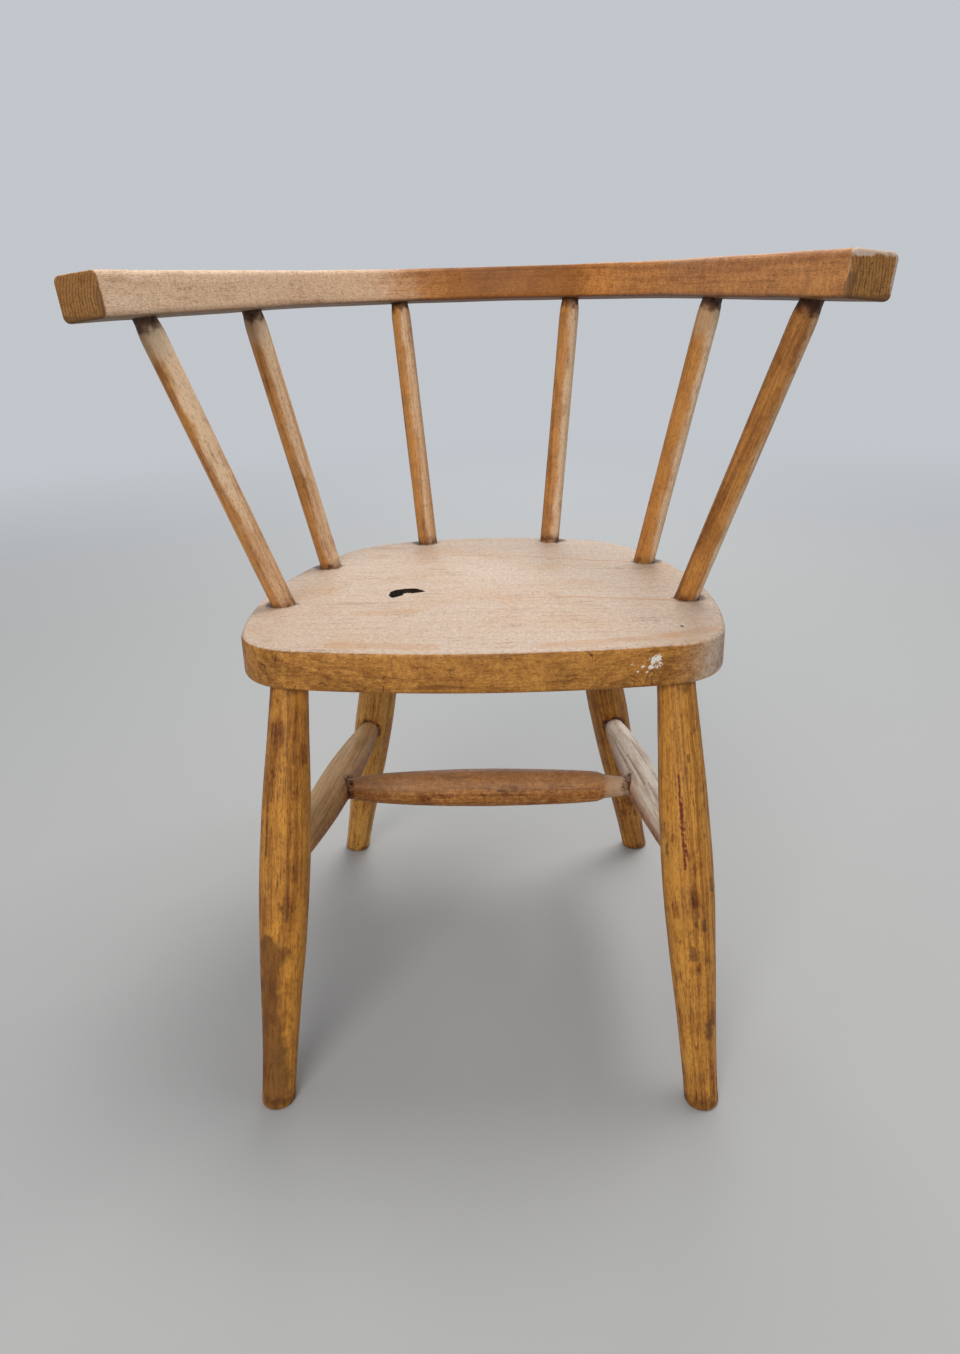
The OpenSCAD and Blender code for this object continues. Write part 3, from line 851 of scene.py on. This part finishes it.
# %% Worn beech
def worn_beech(name, bare, coat, left_on=0.5, cover_and_light=None, heart=(0.045, 0.02, 0), ring=0.0032,
               figured=0.6, mottled=0.3, warmth=0.0, dirt=0.35, dashes=0.0, sanding=0.0, crazing=0.0,
               painted_underside_shade=0.0, grey=None, grey_amount=0.0, end_grain=None, sanded_and_lit=(), stains=(), grime_and_shade=()):
    """A material from pairs of light and dark colours, amounts of each layer, and lists of marks"""
    material = bpy.data.materials.new(name)
    material.use_nodes = True
    t = material.node_tree
    place = put(t, "TexCoord").outputs["Object"]
    grain = put(t, "Attribute", attribute_name="grain").outputs["Vector"]
    figure = use(t, beech_figure, grain=grain, heart=heart, ring=ring)
    upward = put(t, "SeparateXYZ", {0: put(t, "NewGeometry").outputs["Normal"]}).outputs["Z"]
    dusty = clouds(t, grain, (260, 260, 16), 4, 0.7)
    old = clouds(t, place, 55.0, 5, 0.65)

    # For the rail this amount also carries painted light and shade
    amount = cover_and_light(t, place, upward) if cover_and_light else plus(t, left_on, 0.0)
    amount = sand_and_light(t, amount, place, sanded_and_lit)
    if end_grain:
        beyond, end_tint = end_grain
        run = maths(t, "ABSOLUTE", put(t, "SeparateXYZ", {0: grain}).outputs["Z"])
        cap = spread(t, run, beyond - 2.2 * MM, beyond - 0.8 * MM)
        amount = maths(t, "SUBTRACT", amount, times(t, cap, 0.45))
    film = use(t, old_varnish, place=place, grain=grain, left_on=amount)[0]
    mask = maths(t, "MULTIPLY_ADD", film, 0.5, times(t, spread(t, amount, 0.25, 0.85), 0.5))

    skin = wood_colour(t, place, figure, mask, bare, coat, mottled, figured, warmth)
    pores = spread(t, clouds(t, place, 250.0, 4, 0.78), 0.38, 0.62)
    skin = dyed(t, times(t, pores, maths(t, "MULTIPLY_ADD", mask, 0.8 * mottled, mottled)), skin, IN_PORES)
    skin = dyed(t, times(t, spread(t, times(t, old, dusty), 0.26, 0.40), dirt), skin, OLD_DUST)
    if dashes:
        patchy = times(t, figure["Dashes"], spread(t, old, 0.42, 0.60, 0.25, 1.0))
        skin = dyed(t, times(t, patchy, dashes), skin, WARM_BROWN)
    if sanding:
        strokes = spread(t, clouds(t, place, (900, 26, 26), 2, 0.6), 0.35, 0.7)
        skin = mixed(t, times(t, times(t, strokes, spread(t, upward, 0.6, 0.95)), sanding), skin, bare[1])
    if crazing:
        skin = dyed(t, times(t, times(t, cracks(t, place), mask), crazing), skin, WARM_BROWN)
    # Wear and painted highlight: faces that point up are mixed towards a pale grey, partly worn bare wood and
    # partly the light that falls on them
    if grey:
        worn_and_lit = times(t, spread(t, upward, -0.1, 0.8), spread(t, dusty, 0.35, 0.6, 0.45, 1.0))
        skin = mixed(t, times(t, worn_and_lit, grey_amount), skin, grey)
    if end_grain:
        skin = dyed(t, cap, skin, end_tint)
        lines = times(t, times(t, figure["Rings"], cap), spread(t, dusty, 0.35, 0.6, 0.3, 1.0))
        skin = dyed(t, lines, skin, WARM_BROWN)
    # Painted shade: faces that point down are darkened towards near-black, as shade falls under the piece
    if painted_underside_shade:
        skin = mixed(t, times(t, spread(t, upward, -0.35, -0.9), painted_underside_shade), skin, SOOT_AND_SHADE)
    skin = marked(t, skin, place, stains, grime_and_shade)

    height = plus(t, times(t, figure["Relief"], 0.5), times(t, old, 0.6))
    bump = put(t, "Bump", {"Height": height, "Strength": 0.5, "Distance": 0.0007}).outputs["Normal"]
    rough = plus(t, times(t, mask, -0.10), maths(t, "MULTIPLY_ADD", dusty, 0.12, 0.56))
    shader = t.nodes["Principled BSDF"]
    for label, value in {"Base Color": skin, "Roughness": rough, "Normal": bump}.items():
        t.links.new(value, shader.inputs[label])
    shader.inputs["Specular IOR Level"].default_value = 0.28
    return material


print("worn_beech ready")

# %% [markdown]
# ## Finish of the legs
# The legs kept most of their varnish. It has worn to an uneven honey colour, with short dark
# dashes along the fibres and grime where a stretcher goes in. Each leg is painted darker as shade
# where it goes up under the seat. One front leg has a dark red smear of old paint, and a few dark
# knots. Marks are placed by height and by angle round the leg.

# %% Leg finish
def inside(name, end, distance):
    """A point on a turned piece's line, so many millimetres in from its lower (0) or upper (1) end"""
    a, b = axes[name][end], axes[name][1 - end]
    return a + (b - a).normalized() * distance * MM


def on_leg(name, height, angle):
    """A point on a leg's face, by height in mm and by angle from the front towards the sitter's left"""
    a, b = axes[name]
    centre = a + (b - a) * height * MM / b.z
    whole = (b - a).length * SEAT_UNDER / b.z / MM
    radius = leg_radius((centre - a).length / MM, whole)
    turned = math.radians(angle)
    return centre + Vector((math.sin(turned), -math.cos(turned), 0)) * radius * MM


def stain(start, end, reach, ragged, lumps, strength, tint):
    """One mark for the recipe, with its reach and raggedness in millimetres"""
    return (start, end, reach * MM, ragged * MM, lumps, strength, tint)


def spots(name, places, tint, strength=0.6):
    """Small stains on a leg, from (height, angle, size) triples"""
    return [stain(on_leg(name, h, a), on_leg(name, h + 2 * size, a), size, size * 1.4, 420.0, strength, tint)
            for h, a, size in places]


def streaks_on(name, streaks):
    """Thin stains down a leg, from (top, bottom, angle, width, tint, strength, lumps) rows"""
    return [stain(on_leg(name, top, angle), on_leg(name, bottom, angle), width, width * 1.7, lumps,
                  strength, tint) for top, bottom, angle, width, tint, strength, lumps in streaks]


RED, BROWN = colour(104, 22, 16), colour(70, 44, 24)
OLD_BROWN, TANNED = colour(88, 50, 16), colour(120, 80, 38)
leg_marks = {
    "leg_front_left": streaks_on("leg_front_left", [
        (218, 182, -15, 1.1, RED, 0.9, 330.0), (200, 160, -12, 1.35, RED, 0.9, 330.0),
        (190, 168, -7, 0.95, RED, 0.85, 330.0)])
    + spots("leg_front_left", [(121, 23, 2.4), (124, 5, 1.4), (103, -6, 3), (144, 53, 3), (167, -55, 2),
                               (226, 11, 1.6), (50, 30, 4)], BROWN),
    "leg_front_right": streaks_on("leg_front_right", [
        (250, 170, -35, 1.6, BROWN, 0.45, 240.0), (226, 150, -4, 1.0, BROWN, 0.6, 240.0),
        (240, 190, 8, 0.8, BROWN, 0.5, 240.0), (150, 128, 18, 1.1, BROWN, 0.5, 240.0),
        (105, 15, -25, 14.0, OLD_BROWN, 0.7, 60.0), (40, 8, 20, 7.0, TANNED, 0.35, 60.0)]),
}
LEG_SKIN = SWELL_R - 3
leg_tones = {"leg_front_left": (0.96, 0.62), "leg_front_right": (0.97, 0.70),
             "leg_rear_left": (0.80, 0.72), "leg_rear_right": (0.96, 0.50)}


def toned(level, *tints):
    """Colours made darker or lighter together"""
    return tuple(tuple(c * level for c in tint[:3]) + (1,) for tint in tints)


for name, leg in legs.items():
    joint = inside("side_stretcher_" + name.split("_")[-1], 0 if "rear" in name else 1, LEG_SKIN)
    level, left_on = leg_tones[name]
    foot, end = axes[name]
    shaded_collar = foot + (end - foot) * SEAT_UNDER / end.z
    finish = worn_beech(
        name + "_finish", bare=toned(level, colour(224, 172, 92), colour(180, 122, 52)),
        coat=toned(level, colour(214, 146, 54), colour(118, 64, 14)), left_on=left_on,
        stains=leg_marks.get(name, []), dirt=0.9, dashes=0.65, mottled=0.12, figured=0.85,
        # Grime at the stretcher joint and the foot; at the seat's underside the dark ring is painted shade
        grime_and_shade=[(joint, joint, 12 * MM, 0.9), (shaded_collar, shaded_collar, 17 * MM, 0.5),
               (feet[name], feet[name], 15 * MM, 0.55)])
    settle(leg, "leg_wood", finish)

# %% [markdown]
# ## Finish of the stretchers
# Feet have rested on the stretchers for years, so their upper sides are worn to greyish bare wood
# with dark streaks, and they are painted paler still as a highlight where the light from above falls.
# Varnish is left underneath. Dirt has built up at the joints.

# %% Stretcher finish
SIDE_SKIN, SIDE_SOCKET = turnings["side_stretcher_left"][1] - 3, 10.5
CRACK = colour(72, 50, 36)
worn_and_lit_tops = {"side_stretcher_left": (colour(246, 240, 226), 0.88),
             "side_stretcher_right": (colour(240, 202, 144), 0.75),
             "cross_stretcher": (colour(166, 128, 98), 0.6)}
crack_places = {
    "side_stretcher_left": [(0.18, 0.34, 28, 0.9, 0.6), (0.30, 0.48, 8, 0.9, 0.65), (0.40, 0.62, -30, 1.0, 0.7),
                            (0.55, 0.85, 22, 0.9, 0.6), (0.2, 0.5, -52, 1.2, 0.6), (0.62, 0.9, -12, 1.0, 0.6)],
    "side_stretcher_right": [(0.15, 0.45, 40, 1.0, 0.45), (0.5, 0.9, 55, 1.2, 0.5), (0.3, 0.7, -20, 0.9, 0.4)],
}


def on_top(name, share, around):
    """A point on a side stretcher's upper side, by share of its length and degrees from the top"""
    a, b = axes[name]
    middle = a + (b - a) * share
    bulge = swell(abs(2 * share - 1), END_R, turnings[name][1], 0.8)
    turned = math.radians(around)
    return middle + Vector((math.sin(turned), 0, math.cos(turned))) * bulge * MM


def cracks_along(name):
    """Dark cracks on a side stretcher, from (start, end, degrees, width, strength) rows"""
    return [stain(on_top(name, start, around), on_top(name, end, around + 6), width, 2.2 * width, 420.0,
                  0.7 * strength, CRACK) for start, end, around, width, strength in crack_places[name]]


for name, piece in stretchers.items():
    cross = name == "cross_stretcher"
    joints = [inside(name, end, SIDE_SKIN if cross else LEG_SKIN) for end in (0, 1)]
    grime_and_shade = [(joint, joint, 9.6 * MM, 0.95) for joint in joints]
    if cross:
        tip, other = sorted(joints, key=lambda end: -end.x)
        neck = tip + (other - tip).normalized() * 13 * MM
        stains = [stain(neck, tip, 12.5, 3, 120.0, 0.6, colour(212, 188, 160))]
    else:
        end = 1 if axes["cross_stretcher"][1].x * axes[name][0].x > 0 else 0
        socket = inside("cross_stretcher", end, SIDE_SOCKET)
        grime_and_shade.append((socket, socket, 12 * MM, 0.9))
        stains = cracks_along(name)
    finish = worn_beech(
        name + "_finish", bare=(colour(218, 172, 118), colour(176, 124, 70)),
        coat=(colour(208, 142, 62), colour(142, 84, 30)), left_on=0.6, dirt=1.0, dashes=0.8, mottled=0.5,
        grey=worn_and_lit_tops[name][0], grey_amount=worn_and_lit_tops[name][1], stains=stains, grime_and_shade=grime_and_shade)
    settle(piece, "stretcher_wood", finish)

# %% [markdown]
# ## Finish of the spindles
# The dowels are tan with honey streaks. Each has a paler stripe on the same side, partly where
# sandpaper ran up and down it and partly a painted highlight where the light falls on that side.
# Varnish and grime are left close to the seat and the rail, where sandpaper doesn't reach; under
# the rail the dark top is partly painted shade.

# %% Spindle finish
spindle_tones = {"spindle_left_outer": (0.94, 0.98), "spindle_left_middle": (1.0, 0.80),
                 "spindle_left_inner": (1.0, 0.74), "spindle_right_inner": (1.0, 0.74),
                 "spindle_right_middle": (1.0, 0.76), "spindle_right_outer": (1.04, 0.68)}
PALE_TOPS = ("spindle_right_middle", "spindle_right_outer", "spindle_left_middle")
IN_SEAT, IN_SOCKET = 15.5, 14.5
# Painted highlight and sanding: every spindle's stripe of bare wood is on the same side, the one the light
# falls on
SANDED_AND_LIT_SIDE = Vector((7.5, -4, 0)) * MM

for name, piece in spindles.items():
    level, left_on = spindle_tones[name]
    base, top = inside(name, 0, IN_SEAT), inside(name, 1, IN_SOCKET)
    stains = [stain(base, base, 12.5, 5, 260.0, 0.55, colour(104, 58, 30))]
    if name in PALE_TOPS:
        stains.append(stain(top, top, 34, 16, 70.0, 0.4, colour(196, 176, 148)))
    finish = worn_beech(
        name + "_finish", bare=toned(level, colour(230, 198, 162), colour(198, 150, 104)),
        coat=toned(level, colour(204, 140, 68), colour(134, 80, 28)), left_on=left_on, dirt=0.5, dashes=0.1,
        mottled=0.1, figured=0.85, sanded_and_lit=[(base + SANDED_AND_LIT_SIDE, top + SANDED_AND_LIT_SIDE, 10 * MM, 0.9)],
        # At the top, under the rail, the grime is also painted shade
        stains=stains, grime_and_shade=[(base, base, 9.6 * MM, 0.9), (top, top, 13 * MM, 0.85)])
    settle(piece, "spindle_wood", finish)

# %% [markdown]
# ## Finish of the back rail
# The rail is painted pale on the arm at the sitter's right, which faces the light, and darker
# honey brown towards the middle and the other end, which face away from it: painted light and
# shade, partly over varnish that is left. Its downward faces are painted darker as shade. The cut
# ends drink in more varnish and dirt, so they are darker, with the year rings showing.

# %% Rail finish
RAIL_END = HALF_BEND + ARM * MM


def rail_cover_and_light(t, place, upward):
    """How much varnish is left, with painted light and shade in it: little on the lit right arm, most in the
    shaded middle and on the left
    """
    x = put(t, "SeparateXYZ", {0: place}).outputs["X"]
    sideways = spread(t, x, -0.17, 0.04, 0.18, 0.95)
    worn_arm = spread(t, x, 0.02, 0.13, 0.0, 0.26)
    return maths(t, "SUBTRACT", sideways, worn_arm)


def rail_end(side, across, height):
    """A point on the cut end of an arm, by millimetres from its middle and above its underside"""
    out = arm_out(side) * (across + height * math.tan(LEAN))
    return tilt @ (arm_start(side) + arm_way(side) * ARM * MM + (out + Vector((0, 0, height))) * MM)


tops = [inside(name, 1, IN_SOCKET) for name in spindles]
dark_middle = tilt @ (rail_centre + Vector((25, RAIL_R - RAIL_DEEP / 2, RAIL_TALL / 2)) * MM)
PALE_GREY, END_BROWN = colour(214, 198, 186), colour(92, 62, 36)
end_rows = [(1, -12, 25.5, 13, 25.5, 4.2, 7, 260.0, 0.55, PALE_GREY),
            (1, 14, 4, 14, 24, 3, 3, 300.0, 0.5, PALE_GREY),
            (1, -13, 2, -13, 12, 4, 5, 300.0, 0.6, END_BROWN),
            (1, -12, 1, 12, 1, 2.5, 3, 300.0, 0.6, END_BROWN),
            (-1, -12, 1, 12, 1, 2.5, 3, 300.0, 0.6, END_BROWN),
            (-1, -13, 2, -13, 14, 3, 4, 200.0, 0.4, END_BROWN)]
end_cracks = [(1, -11, 2, 20), (1, -8, 3, 14), (1, -4, 7, 19), (1, 1, 3, 10), (1, 6, 4, 16),
              (-1, -9, 3, 12), (-1, -2, 9, 14), (-1, 5, 3, 9)]
end_rows += [(side, across, low, across + 1.5, high, 0.7, 1.5, 420.0, 0.55, END_BROWN)
             for side, across, low, high in end_cracks]
end_marks = [stain(rail_end(side, x0, z0), rail_end(side, x1, z1), *rest)
             for side, x0, z0, x1, z1, *rest in end_rows]
finish = worn_beech(
    "rail_finish", bare=(colour(242, 212, 180), colour(224, 184, 148)),
    coat=(colour(220, 148, 72), colour(158, 96, 38)), heart=(-0.07, 0.01, 0), ring=0.0019, cover_and_light=rail_cover_and_light,
    dirt=0.4, dashes=0.12, figured=0.35, end_grain=(RAIL_END, colour(170, 140, 88)), painted_underside_shade=0.7,
    stains=[stain(dark_middle, dark_middle, 80, 40, 26.0, 0.55, colour(118, 68, 26))] + end_marks,
    grime_and_shade=[(top, top, 10.5 * MM, 0.8) for top in tops])
settle(rail, "rail_wood", finish)

# %% [markdown]
# ## Finish of the seat
# The top was sanded back to pale pinkish beech, while the edge kept its honey varnish with fine
# dark crazing. A few tan lines cross the top, the slot is painted near-black inside as shade in
# the hollow, and there are white paint specks on the front edge. Dirt rings the foot of each
# spindle, and from it a painted shadow runs out on the side the spindle leans to.

# %% Seat finish
def seat_cover(t, place, upward):
    """Varnish is left on the edge and the underside, but less at the sitter's left"""
    x = put(t, "SeparateXYZ", {0: place}).outputs["X"]
    left_side = spread(t, x, 0.105, 0.145, 0.0, 0.50)
    return maths(t, "SUBTRACT", spread(t, upward, 0.45, 0.97, 0.92, 0.10), left_side)


TAN, WHITE, BLACK = colour(188, 142, 100), colour(232, 228, 216), colour(14, 10, 8)
SPECKED_FACE = -151
tan_lines = [(-28, 84, 32, 76, 2.4, 0.4), (32, 76, 85, 59, 2.4, 0.5), (85, 59, 117, 51, 2.4, 0.6),
             (-3, -43, 60, -42, 3.0, 0.35), (60, -42, 134, -55, 2.6, 0.6), (-84, -75, -50, -71, 9, 0.35),
             (-90, -139, -30, -147, 9, 0.45), (40, -147, 118, -131, 8, 0.4), (118, -131, 147, -118, 6, 0.45),
             (84, 89, 84, 89, 10.4, 0.12)]
specks = [(106, 291, 1.5), (108.5, 287.5, 1.2), (104, 286.5, 0.9), (110, 292.5, 0.9), (92, 289, 0.45),
          (96, 284, 0.4), (99, 287, 0.45), (88, 292, 0.35), (102, 283.5, 0.45)]
stains = [stain(Vector((x0 * MM, y0 * MM, SEAT_TOP)), Vector((x1 * MM, y1 * MM, SEAT_TOP)), width, width * 1.6,
                45.0, strength, TAN) for x0, y0, x1, y1, width, strength in tan_lines]
stains += [stain(Vector((x, SPECKED_FACE, z)) * MM, Vector((x + 1.5 * size, SPECKED_FACE, z + 0.6 * size)) * MM,
                 2.2 * size, 4 * size, 900.0, 0.9, WHITE) for x, z, size in specks]
bases = [inside(name, 0, IN_SEAT) for name in spindles]
finish = worn_beech(
    "seat_finish", bare=(colour(215, 195, 178), colour(190, 165, 142)),
    coat=(colour(208, 148, 70), colour(132, 82, 26)), heart=(0.03, -0.09, 0), ring=0.0042, cover_and_light=seat_cover,
    dirt=0.4, sanding=0.45, crazing=0.9, warmth=0.5, mottled=0.35, figured=0.25, stains=stains,
    # Dirt round each spindle's foot, drawn 5 mm outward as a painted contact shadow where the leaning spindle
    # shades the seat
    grime_and_shade=[(base, base + Vector((math.copysign(5 * MM, base.x), 0, 0)), 11 * MM, 0.75) for base in bases])

# Painted shade: the walls of the slot and the nick are painted near-black with brown patches, as the hollows
# lie in shade
hollow_shade = bpy.data.materials.new("broken_knot_finish")
hollow_shade.use_nodes = True
t = hollow_shade.node_tree
place = put(t, "TexCoord").outputs["Object"]
hollow_shade_colour = mixed(t, spread(t, clouds(t, place, 420.0, 4, 0.7), 0.45, 0.75), BLACK, colour(88, 54, 26))
t.links.new(hollow_shade_colour, t.nodes["Principled BSDF"].inputs["Base Color"])
t.nodes["Principled BSDF"].inputs["Roughness"].default_value = 0.9
settle(seat, "seat_wood", finish, hollow_shade)
